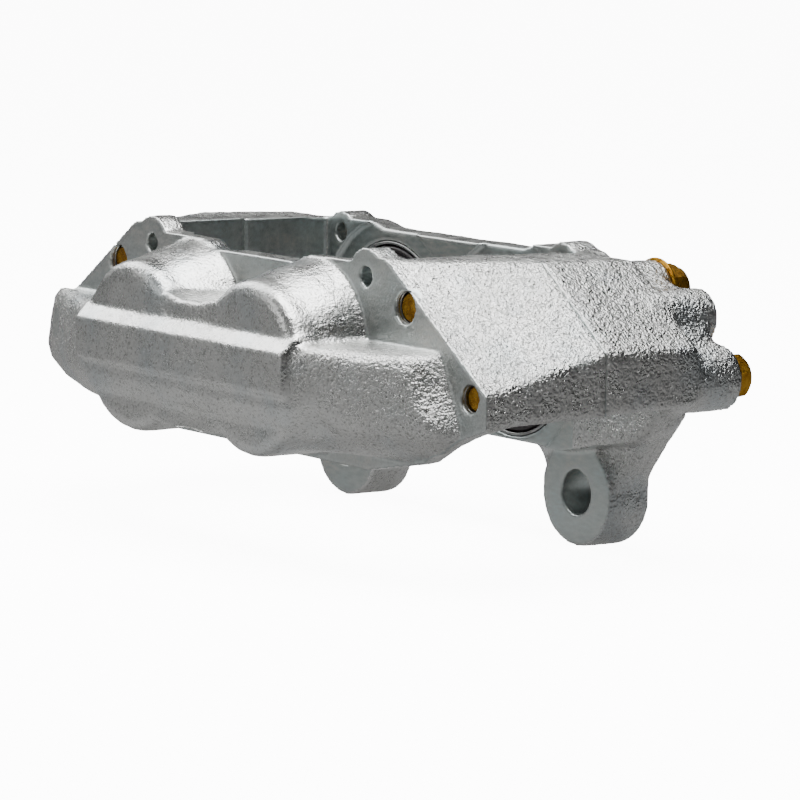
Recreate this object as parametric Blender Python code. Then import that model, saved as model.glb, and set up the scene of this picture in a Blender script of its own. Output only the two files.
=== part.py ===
"""Four-piston fixed brake caliper, two cast halves bolted together over a disc.

X runs along the caliper, Y along the disc's axis (-Y outboard, +Y inboard) and Z
radially outward. Dimensions are in millimetres until mesh_object turns them into
metres. Y is measured from the joint face between the halves, and Z from the
bottom of the mounting lugs. The parent empty then moves that origin to the
middle of the object's footprint.
"""

import math

import bmesh
import bpy

MM = 0.001
FIT_GAP = 0.3          # clearance kept between two faceted solids

# Overall layout
DEPTH_OUTBOARD = 71.4  # joint face to the front of the fluid rib
DEPTH_INBOARD = 77.4   # joint face to the end of the bleeder cap
SPLIT_Y = (DEPTH_OUTBOARD - DEPTH_INBOARD) / 2
END_X = 123.4          # half length at the joint face
FLANGE_END_X = 118.5   # half length at the outboard face

# Window for the pads, and the disc that runs under the bridges
WINDOW_HALF_X = 65.75
GAP_HALF_Y = 33.6
DISC_CENTRE_Z = -68.4
DISC_SLOT_R = 160.5

# Wall at the right end of the outboard wing, measured along X
WING_WALL_RUN = 5.5
# How far its left end stands behind the fluid rib
WING_LEFT_STEP = 5.0

# Flanges beside the window
FLANGE_FACE_Y = 41.4
INBOARD_FLANGE_BACK_Y = 45.0
BRIDGE_TOP_Z = 94.5

# Cylinders and what runs in them
PISTON_X = 32.7
PISTON_Z = 60.0
PISTON_R = 21.4
BORE_R = PISTON_R + FIT_GAP
BARREL_R = 27.4
BORE_END_Y = 58.0
PISTON_FACE_Y = 34.2
PISTON_LENGTH = 22.5
SEAL_R = 24.0
SEAL_MIDDLE_Y = 43.4
SEAL_WIDTH = 2.8
BOOT_R = 28.0
BOOT_SEAT_Y = 39.0
PAD_RECESS_R = 35.2
PAD_RECESS_Y = 35.4

# Pad pin holes
PIN_X = 58.4
PIN_Z = 89.1
PIN_R = 3.1
PIN_BOSS_R_OUTBOARD = 8.8
PIN_BOSS_R_INBOARD = 7.0

# Bridge bolts: (X, Z, shank radius, boss radius), and their heads: (flange radius, hexagon radius, height)
UPPER_BOLT = (78.2, 81.6, 4.8, 9.8)
LOWER_BOLT = (110.5, 57.9, 4.0, 10.6)
UPPER_HEAD = (10.2, 8.1, 7.0)
LOWER_HEAD = (8.9, 7.4, 5.4)
LOWER_HOLE_END_Y = {"left": -40.2, "right": -50.0}  # tapped blind on the left, through on the right
BOSS_END_Y = 55.0
BOLT_RECESS = 2.0
BOLT_CLEARANCE = 0.5
BOLT_FLANGE_H = 1.8

# Fluid passage between the halves
PASSAGE_X = 100.0
PASSAGE_Z = 75.6
PASSAGE_R = 2.4
PASSAGE_BOSS_R = 9.2
WEB_END_Y = 51.0
ORING_R = 4.4
ORING_WIRE_R = 1.2
ORING_SEAT_R = 6.0
ORING_SEAT_Y = 3.0
PLUG_R = 4.0
PLUG_SEAT_Y = 47.7

# Mounting lugs
LUG_X = 61.5
LUG_R = 17.2
LUG_FACE_Y = 38.9
LUG_BACK_Y = 54.9
LUG_HOLE_R = 7.15
LUG_WEB_Y = 41.2

# Hose port and bleeder, between the inboard cylinders
PORT_Z = 50.0
PORT_R = 4.6
PORT_BOSS_R = 9.5
PORT_FACE_Y = 64.0
BLEED_Z = 76.0
BLEED_R = 3.4
BLEED_BOSS_R = 7.4
BLEED_FACE_Y = 60.0
LINK_Y = 54.0
LINK_R = 1.9

ROUND = 28
FINE_ROUND = 16
SLOT_ROUND = 72
SHOULDER_STEPS = 5
SIDES = (("left", -1), ("right", 1))


def clear_scene():
    for thing in list(bpy.data.objects):
        bpy.data.objects.remove(thing, do_unlink=True)


def make_material(name, colour, roughness, metallic):
    material = bpy.data.materials.new(name)
    material.use_nodes = True
    shader = material.node_tree.nodes["Principled BSDF"]
    shader.inputs["Base Color"].default_value = (*colour, 1.0)
    shader.inputs["Roughness"].default_value = roughness
    shader.inputs["Metallic"].default_value = metallic
    material.diffuse_color = (*colour, 1.0)
    return material


def make_materials():
    return {
        "zinc": lambda name: make_material(name, (0.58, 0.59, 0.58), 0.45, 0.9),
        "gold": lambda name: make_material(name, (0.52, 0.32, 0.07), 0.35, 0.9),
        "chrome": lambda name: make_material(name, (0.62, 0.62, 0.62), 0.2, 1.0),
        "steel": lambda name: make_material(name, (0.42, 0.43, 0.43), 0.35, 0.9),
        "rubber": lambda name: make_material(name, (0.03, 0.028, 0.027), 0.6, 0.0),
    }


# --- Shapes -----------------------------------------------------------------

def mesh_object(name, vertices, faces, parent, location=(0.0, 0.0, 0.0)):
    """A closed mesh from points in millimetres, with its faces turned outward."""
    mesh = bpy.data.meshes.new(name)
    mesh.from_pydata([tuple(value * MM for value in point) for point in vertices], [], faces)
    shape = bmesh.new()
    shape.from_mesh(mesh)
    bmesh.ops.recalc_face_normals(shape, faces=shape.faces)
    shape.to_mesh(mesh)
    shape.free()
    thing = bpy.data.objects.new(name, mesh)
    thing.location = [value * MM for value in location]
    thing.parent = parent
    bpy.context.scene.collection.objects.link(thing)
    return thing


def stack(name, layers, parent):
    """Joins closed outlines with the same number of points into one solid."""
    count = len(layers[0])
    vertices = [point for layer in layers for point in layer]
    faces = [tuple(range(count)), tuple(range(len(vertices) - count, len(vertices)))]
    for level in range(len(layers) - 1):
        for index in range(count):
            following = (index + 1) % count
            low, high = level * count, (level + 1) * count
            faces.append((low + index, low + following, high + following))
            faces.append((low + index, high + following, high + index))
    return mesh_object(name, vertices, faces, parent)


def plate(name, outline, y_start, y_end, parent):
    """An X-Z outline extruded along the disc's axis."""
    layers = [[(x, y, z) for x, z in outline] for y in (y_start, y_end)]
    return stack(name, layers, parent)


def turned(name, profile, centre, parent, segments=ROUND, ring=False):
    """Turns (radius, y) points about an axis along Y through centre (x, z)."""
    vertices = []
    for radius, y in profile:
        for step in range(segments):
            angle = math.tau * step / segments
            vertices.append((radius * math.cos(angle), y, radius * math.sin(angle)))
    rows = len(profile)
    faces = []
    for row in range(rows if ring else rows - 1):
        low, high = row * segments, ((row + 1) % rows) * segments
        for step in range(segments):
            following = (step + 1) % segments
            faces.append((low + step, low + following, high + following, high + step))
    if not ring:
        faces.append(tuple(range(segments)))
        faces.append(tuple(range((rows - 1) * segments, rows * segments)))
    return mesh_object(name, vertices, faces, parent, (centre[0], 0.0, centre[1]))


def rod(name, centre, radius, y_start, y_end, parent, segments=ROUND):
    return turned(name, [(radius, y_start), (radius, y_end)], centre, parent, segments)


def drill(name, start, end, radius, parent, segments=12):
    """A straight drilling between two points in any direction."""
    span = [b - a for a, b in zip(start, end)]
    length = math.sqrt(sum(value * value for value in span))
    forward = [value / length for value in span]
    side = (0.0, 0.0, 1.0) if abs(forward[2]) < 0.9 else (1.0, 0.0, 0.0)
    across = cross(forward, side)
    scale = math.sqrt(sum(value * value for value in across))
    across = [value / scale for value in across]
    upward = cross(across, forward)
    layers = []
    for base in (start, end):
        layer = []
        for step in range(segments):
            angle = math.tau * step / segments
            layer.append(tuple(
                base[i] + radius * (math.cos(angle) * across[i] + math.sin(angle) * upward[i])
                for i in range(3)
            ))
        layers.append(layer)
    return stack(name, layers, parent)


def cross(a, b):
    return [a[1] * b[2] - a[2] * b[1], a[2] * b[0] - a[0] * b[2], a[0] * b[1] - a[1] * b[0]]


def arc(centre, radius, start_deg, end_deg, steps):
    points = []
    for step in range(steps + 1):
        angle = math.radians(start_deg + (end_deg - start_deg) * step / steps)
        points.append((centre[0] + radius * math.cos(angle), centre[1] + radius * math.sin(angle)))
    return points


def mirrored_outline(right_side):
    """Closes an outline by mirroring its right side, given from top to bottom."""
    left_side = [(-x, z) for x, z in reversed(right_side)]
    return right_side + left_side


def combine(target, tools, operation):
    for tool in tools:
        tool.hide_render = True
        tool.display_type = "WIRE"
        step = target.modifiers.new(tool.name, "BOOLEAN")
        step.operation = operation
        step.object = tool


def finish_round(thing, angle=35.0):
    thing.data.shade_smooth()
    thing.data.set_sharp_from_angle(angle=math.radians(angle))


def dress(thing, make, name):
    thing.data.materials.append(make(name))
    return thing


# --- Cast halves --------------------------------------------------------------

def flange_outline(valley_z, lobe, boss_r, shoulder_z, drop, end, bottom):
    """One half of a flange: low middle, lobe, pin boss, sloping shoulder, end and bottom.

    lobe is where the edge starts to rise towards the pin boss, and the height that it reaches. end is
    the X of the end and the height of its lower corner.
    """
    lobe_x, lobe_z = lobe
    boss_start = 180.0 - math.degrees(math.asin((lobe_z - PIN_Z) / boss_r))
    right = [(4.0, valley_z), (lobe_x, valley_z), (lobe_x + 4.0, lobe_z - 0.8), (lobe_x + 8.0, lobe_z)]
    right += arc((PIN_X, PIN_Z), boss_r, boss_start, 48.0, 6)
    right += [(68.5, shoulder_z), (end[0], shoulder_z - drop), end]
    return mirrored_outline(right + bottom)


def subdivided(profile, first, steps):
    """Splits the edge that starts at point number first into equal steps."""
    (x0, z0), (x1, z1) = profile[first], profile[first + 1]
    extra = [(x0 + (x1 - x0) * i / steps, z0 + (z1 - z0) * i / steps) for i in range(1, steps)]
    return profile[:first + 1] + extra + profile[first + 1:]


def bridge_end(name, side, outer_y, outer_profile, parent):
    """The bridge beyond the window, from the joint face to a flange."""
    joint_profile = [
        (WINDOW_HALF_X, BRIDGE_TOP_Z), (91.8, BRIDGE_TOP_Z), (END_X, 69.8),
        (END_X, 51.0), (WINDOW_HALF_X, 51.0),
    ]
    inner = subdivided(joint_profile, 1, SHOULDER_STEPS)
    outer = subdivided(outer_profile, 1, SHOULDER_STEPS)
    layers = []
    for level in range(SHOULDER_STEPS + 1):
        share = level / SHOULDER_STEPS
        layers.append([
            (side * (a[0] + (b[0] - a[0]) * share), outer_y * share, a[1] + (b[1] - a[1]) * share)
            for a, b in zip(inner, outer)
        ])
    return stack(name, layers, parent)


def wing(name, levels, parent):
    """The body that tapers from the cylinders to the ends; levels run upward."""
    layers = []
    for z, end_x, end_y, front_x, front_y in levels:
        layers.append([
            (-end_x, end_y, z), (-front_x, front_y, z), (front_x, front_y, z), (end_x, end_y, z),
        ])
    return stack(name, layers, parent)


def outboard_wing(levels, parent):
    """The outboard wing: full at the left, and stopped at a steep wall beside the right lower bolt.

    The right side first heads for (end_x, end_y), so that the front keeps one slope up to the wall.
    """
    layers = []
    for z, left_x, end_x, end_y, front_x, front_y, foot_x in levels:
        crest_x = foot_x - WING_WALL_RUN
        share = (crest_x - front_x) / (end_x - front_x)
        crest_y = front_y + (end_y - front_y) * share
        layers.append([
            (-left_x, end_y, z), (-front_x - 2.0, front_y + WING_LEFT_STEP, z), (-front_x + 3.0, front_y, z),
            (front_x, front_y, z), (crest_x, crest_y, z), (foot_x, end_y, z),
        ])
    return stack("add_wing_out", layers, parent)


def barrel(name, side, sign, front_y, parent):
    """The outside of one cylinder, with a rounded closed end."""
    profile = [
        (BARREL_R, sign * 36.0), (BARREL_R, sign * (front_y - 3.8)), (BARREL_R - 0.5, sign * (front_y - 2.2)),
        (BARREL_R - 1.6, sign * (front_y - 0.8)), (BARREL_R - 3.8, sign * front_y),
    ]
    return turned(name, profile, (side * PISTON_X, PISTON_Z), parent)


def hood(name, side, parent):
    """The fairing that lifts the top of an outboard cylinder up to its flange."""
    layers = []
    for y, radius, z in ((-39.0, 27.0, 66.0), (-52.0, 26.6, 63.6), (-62.5, 25.6, 61.2)):
        circle = arc((side * PISTON_X, z), radius, 0.0, 360.0, ROUND)[:-1]
        layers.append([(x, y, height) for x, height in circle])
    return stack(name, layers, parent)


def boss_web(name, side, start, end, widths, parent):
    """The iron that fills the valley between two neighbouring bosses, given as (x, z)."""
    run, rise = end[0] - start[0], end[1] - start[1]
    length = math.hypot(run, rise)
    normal = (-rise / length, run / length)
    outline = []
    for (x, z), width in ((start, widths[0]), (end, widths[1]), (end, -widths[1]), (start, -widths[0])):
        outline.append((side * (x + normal[0] * width), z + normal[1] * width))
    return plate(name, outline, 40.0, WEB_END_Y, parent)


def barrel_web(name, sign, front_y, parent):
    """The saddle of iron between the two cylinders of one half."""
    right = [(5.0, 77.6), (12.0, 79.0), (20.0, 79.5), (30.0, 74.0), (30.0, 45.0), (18.0, 38.0), (8.0, 36.6)]
    return plate(name, mirrored_outline(right), sign * 38.0, sign * front_y, parent)


def bore_cutters(sign, parent):
    """Cylinder bore, seal groove, boot seat and pad recess of both pistons."""
    cutters = []
    for label, side in SIDES:
        centre = (side * PISTON_X, PISTON_Z)
        groove = SEAL_WIDTH / 2 + FIT_GAP
        profile = [
            (PAD_RECESS_R, sign * (GAP_HALF_Y - 2.0)), (PAD_RECESS_R, sign * PAD_RECESS_Y),
            (BOOT_R + FIT_GAP, sign * PAD_RECESS_Y), (BOOT_R + FIT_GAP, sign * BOOT_SEAT_Y),
            (BORE_R, sign * BOOT_SEAT_Y), (BORE_R, sign * (SEAL_MIDDLE_Y - groove)),
            (SEAL_R + FIT_GAP, sign * (SEAL_MIDDLE_Y - groove)),
            (SEAL_R + FIT_GAP, sign * (SEAL_MIDDLE_Y + groove)),
            (BORE_R, sign * (SEAL_MIDDLE_Y + groove)), (BORE_R, sign * BORE_END_Y),
        ]
        cutters.append(turned(f"cut_bore_{sign}_{label}", profile, centre, parent))
    return cutters


def passage_cutters(sign, entry, turn, parent):
    """Cross drillings from each passage to its cylinder, and the link between the cylinders.

    entry cuts the passage of one side, and turn is the point where the cross drilling leaves it.
    """
    link_end = PISTON_X - BORE_R + 3.0
    cutters = [drill(
        f"cut_link_{sign}", (-link_end, sign * LINK_Y, PISTON_Z), (link_end, sign * LINK_Y, PISTON_Z),
        LINK_R, parent,
    )]
    for label, side in SIDES:
        cutters.append(entry(label, side))
        cutters.append(drill(
            f"cut_cross_{sign}_{label}", (side * turn[0], turn[1], turn[2]),
            (side * 46.0, sign * 53.0, 58.0), LINK_R, parent,
        ))
    return cutters


def disc_slot_cutter(name, sign, parent):
    return rod(name, (0.0, DISC_CENTRE_Z), DISC_SLOT_R, -sign * 2.0, sign * (GAP_HALF_Y + 0.01), parent,
               SLOT_ROUND)


def fluid_rib(parent):
    """The raised band across both outboard cylinders, with a sloping upper face."""
    layers = []
    for y, half_x, top_z in ((-60.0, 58.0, 72.4), (-66.4, 58.0, 72.0), (-DEPTH_OUTBOARD, 57.0, 67.2)):
        layers.append([(-half_x, y, top_z), (half_x, y, top_z), (half_x, y, 54.4), (-half_x, y, 54.4)])
    return stack("add_rib_out", layers, parent)


def outboard_half(make, parent):
    bottom = [(107.6, 45.6), (98.0, 41.4), (88.0, 35.6), (76.0, 33.4), (60.0, 30.4)]
    end = (FLANGE_END_X, 49.0)
    outline = flange_outline(90.2, (22.0, 93.2), PIN_BOSS_R_OUTBOARD, 95.2, 35.6, end, bottom)
    body = plate("outboard_half", outline, -FLANGE_FACE_Y, -GAP_HALF_Y, parent)
    outer = [(WINDOW_HALF_X, 94.8), (68.3, 94.8), (FLANGE_END_X - 0.3, 59.2),
             (FLANGE_END_X - 0.3, 49.2), (WINDOW_HALF_X, 48.6)]
    solids = [bridge_end(f"add_bridge_out_{label}", side, -40.8, outer, parent) for label, side in SIDES]
    # Height, left end, right aim (X, Y), front corner (X, Y) and foot of the right wall
    levels = [
        (36.0, 103.0, 88.0, -38.0, 46.0, -59.0, 86.0),
        (40.0, 115.0, 104.0, -39.0, 52.0, -64.5, 101.0),
        (45.5, 121.5, 119.5, -40.2, 55.5, -68.4, 107.6),
        (50.0, 123.2, 122.4, -40.4, 57.0, -69.8, 106.2),
        (58.0, 121.4, 120.0, -40.4, 57.0, -70.2, 102.2),
        (66.0, 119.0, 118.5, -40.4, 57.0, -69.6, 98.6),
        (69.6, 116.5, 116.0, -39.6, 55.5, -67.6, 97.0),
    ]
    solids.append(outboard_wing(levels, parent))
    solids += [barrel(f"add_barrel_out_{label}", side, -1, 67.2, parent) for label, side in SIDES]
    solids += [hood(f"add_hood_{label}", side, parent) for label, side in SIDES]
    solids.append(barrel_web("add_web_out", -1, 66.9, parent))
    solids.append(fluid_rib(parent))
    combine(body, solids, "UNION")

    cutters = [disc_slot_cutter("cut_disc_out", -1, parent)]
    cutters += bore_cutters(-1, parent)
    for label, side in SIDES:
        pin = (side * PIN_X, PIN_Z)
        upper = (side * UPPER_BOLT[0], UPPER_BOLT[1])
        lower = (side * LOWER_BOLT[0], LOWER_BOLT[1])
        holes = (("pin", pin, PIN_R, -50.0, -30.0),
                 ("upper", upper, UPPER_BOLT[2] + FIT_GAP, -50.0, 1.0),
                 ("lower", lower, LOWER_BOLT[2] + FIT_GAP, LOWER_HOLE_END_Y[label], 1.0))
        for place, centre, radius, start, end in holes:
            cutters.append(rod(f"cut_{place}_out_{label}", centre, radius, start, end, parent, FINE_ROUND))

    def sloping_passage(label, side):
        start = (side * (PASSAGE_X + 0.1), 1.0, PASSAGE_Z + 0.3)
        return drill(f"cut_passage_out_{label}", start, (side * 96.0, -37.6, 66.0), PASSAGE_R, parent)

    cutters += passage_cutters(-1, sloping_passage, (96.2, -36.8, 66.3), parent)
    combine(body, cutters, "DIFFERENCE")
    return dress(body, make["zinc"], "zinc_outboard")


def lug_outline(side):
    """Web of one lug, flaring from the boss up into the body."""
    right = [(27.0, 37.0), (34.0, 32.0), (40.5, 26.8), (44.0, 20.0)]
    right += arc((LUG_X, LUG_R), LUG_R - 1.0, 178.0, 362.0, 12)
    right += [(81.5, 25.0), (88.0, 34.0), (97.0, 44.0), (97.0, 56.0), (27.0, 56.0)]
    return [(side * x, z) for x, z in right]


def inboard_half(make, parent):
    bottom = [(107.2, 49.2), (104.0, 42.0), (94.0, 36.6), (78.0, 34.0), (60.0, 30.4)]
    outline = flange_outline(92.0, (37.0, 94.0), PIN_BOSS_R_INBOARD, 93.2, 33.2, (116.0, 50.2), bottom)
    body = plate("inboard_half", outline, GAP_HALF_Y, INBOARD_FLANGE_BACK_Y, parent)
    outer = [(WINDOW_HALF_X, 93.4), (90.4, 93.4), (122.2, 68.6), (122.2, 51.4), (WINDOW_HALF_X, 51.4)]
    base = [(67.0, 92.0), (88.0, 91.6), (121.0, 67.0), (121.0, 52.4), (67.0, 52.4)]
    back = [(67.0, 84.0), (80.0, 82.0), (108.0, 64.0), (112.0, 55.0), (67.0, 55.0)]
    solids = [bridge_end(f"add_bridge_in_{label}", side, 37.4, outer, parent) for label, side in SIDES]
    for label, side in SIDES:
        layers = [[(side * x, y, z) for x, z in profile] for profile, y in ((base, 36.8), (back, 47.5))]
        solids.append(stack(f"add_shoulder_{label}", layers, parent))
    levels = [(36.8, 92.0, 42.0, 48.0, 56.0), (44.0, 106.0, 42.0, 54.0, 60.5),
              (66.0, 108.0, 42.0, 56.0, 61.0), (71.0, 106.0, 42.0, 54.0, 59.5)]
    solids.append(wing("add_wing_in", levels, parent))
    solids += [barrel(f"add_barrel_in_{label}", side, 1, 63.6, parent) for label, side in SIDES]
    solids.append(barrel_web("add_web_in", 1, 57.6, parent))
    solids.append(rod("add_port_boss", (0.0, PORT_Z), PORT_BOSS_R, 50.0, PORT_FACE_Y, parent, FINE_ROUND))
    solids.append(rod("add_bleed_boss", (0.0, BLEED_Z), BLEED_BOSS_R, 50.0, BLEED_FACE_Y, parent, FINE_ROUND))
    for label, side in SIDES:
        bosses = (("upper", UPPER_BOLT[0], UPPER_BOLT[1], UPPER_BOLT[3]),
                  ("middle", PASSAGE_X, PASSAGE_Z, PASSAGE_BOSS_R),
                  ("lower", LOWER_BOLT[0], LOWER_BOLT[1] + 0.4, LOWER_BOLT[3]))
        for place, x, z, radius in bosses:
            solids.append(rod(f"add_{place}_boss_{label}", (side * x, z), radius, 30.0, BOSS_END_Y, parent,
                              FINE_ROUND))
        middle = (PASSAGE_X, PASSAGE_Z)
        webs = (("upper", UPPER_BOLT[:2], middle, (8.6, 7.4)), ("lower", middle, LOWER_BOLT[:2], (7.8, 8.4)))
        for place, start, end, widths in webs:
            solids.append(boss_web(f"add_{place}_web_{label}", side, start, end, widths, parent))
        solids.append(plate(f"add_lug_web_{label}", lug_outline(side), LUG_WEB_Y, LUG_BACK_Y - 0.4, parent))
        solids.append(rod(f"add_lug_{label}", (side * LUG_X, LUG_R), LUG_R, LUG_FACE_Y, LUG_BACK_Y, parent))
    combine(body, solids, "UNION")

    cutters = [disc_slot_cutter("cut_disc_in", 1, parent)]
    cutters += bore_cutters(1, parent)
    for label, side in SIDES:
        pin = (side * PIN_X, PIN_Z)
        upper = (side * UPPER_BOLT[0], UPPER_BOLT[1])
        lower = (side * LOWER_BOLT[0], LOWER_BOLT[1])
        lug = (side * LUG_X, LUG_R)
        holes = (("pin", pin, PIN_R, 30.0, 50.0, FINE_ROUND),
                 ("upper", upper, UPPER_BOLT[2] + BOLT_CLEARANCE, -1.0, 60.0, FINE_ROUND),
                 ("lower", lower, LOWER_BOLT[2] + BOLT_CLEARANCE, -1.0, 60.0, FINE_ROUND),
                 ("lug", lug, LUG_HOLE_R, 30.0, 60.0, ROUND))
        for place, centre, radius, start, end, segments in holes:
            cutters.append(rod(f"cut_{place}_in_{label}", centre, radius, start, end, parent, segments))
    stepped = [(ORING_SEAT_R, -1.0), (ORING_SEAT_R, ORING_SEAT_Y), (PASSAGE_R, ORING_SEAT_Y),
               (PASSAGE_R, PLUG_SEAT_Y), (PLUG_R + FIT_GAP, PLUG_SEAT_Y), (PLUG_R + FIT_GAP, 60.0)]

    def straight_passage(label, side):
        return turned(f"cut_passage_in_{label}", stepped, (side * PASSAGE_X, PASSAGE_Z), parent, FINE_ROUND)

    cutters += passage_cutters(1, straight_passage, (99.4, 38.4, 75.1), parent)
    for place, z, radius in (("port", PORT_Z, PORT_R), ("bleed", BLEED_Z, BLEED_R + FIT_GAP)):
        cutters.append(rod(f"cut_{place}", (0.0, z), radius, LINK_Y - 2.0, 70.0, parent, FINE_ROUND))
    cutters.append(drill("cut_gallery", (0.0, LINK_Y, PORT_Z), (0.0, LINK_Y, BLEED_Z), LINK_R, parent))
    combine(body, cutters, "DIFFERENCE")
    return dress(body, make["zinc"], "zinc_inboard")


# --- Hydraulics ---------------------------------------------------------------

def add_piston_set(half, sign, label, side, make, parent):
    """A hollow piston with its seal, dust boot and the ring that holds the boot."""
    centre = (side * PISTON_X, PISTON_Z)
    place = f"{half}_{label}"
    back = PISTON_FACE_Y + PISTON_LENGTH
    outer = [(PISTON_R - 0.8, PISTON_FACE_Y), (PISTON_R, PISTON_FACE_Y + 0.8), (PISTON_R, back - 1.0),
             (PISTON_R - 1.0, back)]
    # The cup is open towards the pad, and its floor is closed at the back.
    inner = [(15.4, back - 5.0), (16.4, PISTON_FACE_Y)]
    profile = inner + outer
    piston = turned(f"piston_{place}", [(r, sign * y) for r, y in profile], centre, parent)
    finish_round(dress(piston, make["chrome"], f"chrome_{place}"))

    near, far = SEAL_MIDDLE_Y - SEAL_WIDTH / 2, SEAL_MIDDLE_Y + SEAL_WIDTH / 2
    square = [(BORE_R, near), (SEAL_R, near), (SEAL_R, far), (BORE_R, far)]
    seal = turned(f"seal_{place}", [(r, sign * y) for r, y in square], centre, parent, ring=True)
    finish_round(dress(seal, make["rubber"], f"rubber_seal_{place}"))

    lip = PISTON_R + FIT_GAP
    bead = BOOT_R - 0.4
    folds = [(lip, 35.0), (23.8, 35.9), (26.0, 36.2), (bead, 37.0), (bead, 38.7), (25.6, 38.7), (24.4, 37.6),
             (lip, 36.6)]
    boot = turned(f"boot_{place}", [(r, sign * y) for r, y in folds], centre, parent, ring=True)
    finish_round(dress(boot, make["rubber"], f"rubber_boot_{place}"))

    wire = [(BOOT_R - 1.0, 35.5), (BOOT_R, 35.5), (BOOT_R, 36.6), (BOOT_R - 0.5, 36.4)]
    ring = turned(f"boot_ring_{place}", [(r, sign * y) for r, y in wire], centre, parent, ring=True)
    finish_round(dress(ring, make["steel"], f"steel_ring_{place}"))


def add_bolt(label, place, side, spec, head, make, parent):
    """A flanged hexagon bolt that enters from the inboard boss."""
    x, z, shank_r, _ = spec
    flange_r, hex_r, hex_h = head
    seat = BOSS_END_Y + FIT_GAP
    tip = -FLANGE_FACE_Y + BOLT_RECESS
    shank = [(shank_r - 0.7, tip), (shank_r, tip + 0.7), (shank_r, seat), (flange_r, seat),
             (flange_r, seat + BOLT_FLANGE_H * 0.6), (hex_r * 0.8, seat + BOLT_FLANGE_H)]
    bolt = turned(f"bolt_{place}_{label}", shank, (side * x, z), parent, FINE_ROUND)
    top = seat + BOLT_FLANGE_H + hex_h
    chamfered = [(hex_r, seat + 0.7), (hex_r, top - 0.8), (hex_r - 1.0, top)]
    hexagon = turned(f"add_hex_{place}_{label}", chamfered, (side * x, z), parent, 6)
    combine(bolt, [hexagon], "UNION")
    dress(bolt, make["gold"], f"gold_{place}_{label}")


def add_passage_seals(label, side, make, parent):
    """The O-ring between the halves and the plug that closes the drilling."""
    centre = (side * PASSAGE_X, PASSAGE_Z)
    steps = 8
    wire = [(ORING_R + ORING_WIRE_R * math.cos(math.tau * i / steps),
             1.5 + ORING_WIRE_R * math.sin(math.tau * i / steps)) for i in range(steps)]
    oring = turned(f"passage_oring_{label}", wire, centre, parent, FINE_ROUND, ring=True)
    finish_round(dress(oring, make["rubber"], f"rubber_oring_{label}"))
    chamfered = [(PLUG_R - 0.6, 49.4), (PLUG_R, 50.0), (PLUG_R, 54.0), (PLUG_R - 0.6, 54.6)]
    plug = turned(f"passage_plug_{label}", chamfered, centre, parent, FINE_ROUND)
    finish_round(dress(plug, make["steel"], f"steel_plug_{label}"))


def add_bleeder(make, parent):
    """The bleeder screw with its nipple, and the rubber cap over the nipple."""
    centre = (0.0, BLEED_Z)
    seat = BLEED_FACE_Y + 1.0
    body = [(1.4, 57.0), (BLEED_R, 59.0), (BLEED_R, seat + 1.0), (BLEED_R, seat + 6.6), (2.6, seat + 7.2),
            (2.6, seat + 9.4), (3.1, seat + 10.2), (3.1, seat + 11.2), (2.0, seat + 13.4)]
    screw = turned("bleeder_screw", body, centre, parent, FINE_ROUND)
    collar = turned("add_bleeder_hex", [(4.9, seat), (5.4, seat + 0.5), (5.4, seat + 5.6), (4.9, seat + 6.1)],
                    centre, parent, 6)
    combine(screw, [collar], "UNION")
    dress(screw, make["steel"], "steel_bleeder")

    inner = [(3.4, seat + 7.7), (3.5, seat + 13.8)]
    outer = [(3.6, DEPTH_INBOARD), (4.6, DEPTH_INBOARD - 1.0), (4.6, seat + 8.6), (4.1, seat + 7.7)]
    profile = list(reversed(inner)) + list(reversed(outer))
    cap = turned("bleeder_cap", profile, centre, parent, FINE_ROUND)
    finish_round(dress(cap, make["rubber"], "rubber_cap"))


def main():
    clear_scene()
    frame = bpy.data.objects.new("caliper_frame", None)
    frame.location = (0.0, SPLIT_Y * MM, 0.0)
    bpy.context.scene.collection.objects.link(frame)
    make = make_materials()
    outboard_half(make, frame)
    inboard_half(make, frame)
    for half, sign in (("outboard", -1), ("inboard", 1)):
        for label, side in SIDES:
            add_piston_set(half, sign, label, side, make, frame)
    for label, side in SIDES:
        add_bolt(label, "upper", side, UPPER_BOLT, UPPER_HEAD, make, frame)
        add_bolt(label, "lower", side, LOWER_BOLT, LOWER_HEAD, make, frame)
        add_passage_seals(label, side, make, frame)
    add_bleeder(make, frame)


main()
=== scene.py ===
"""Looks for the brake caliper: rough zinc-plated castings, bolts, pistons and rubber.

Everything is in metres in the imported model's frame: X along the caliper, Y along
the disc's axis (-Y outboard) and Z up. Places come from the frame's own boxes.
"""
import math

import bmesh
import bpy
import numpy as np
from mathutils import Matrix, Vector, noise


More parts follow.
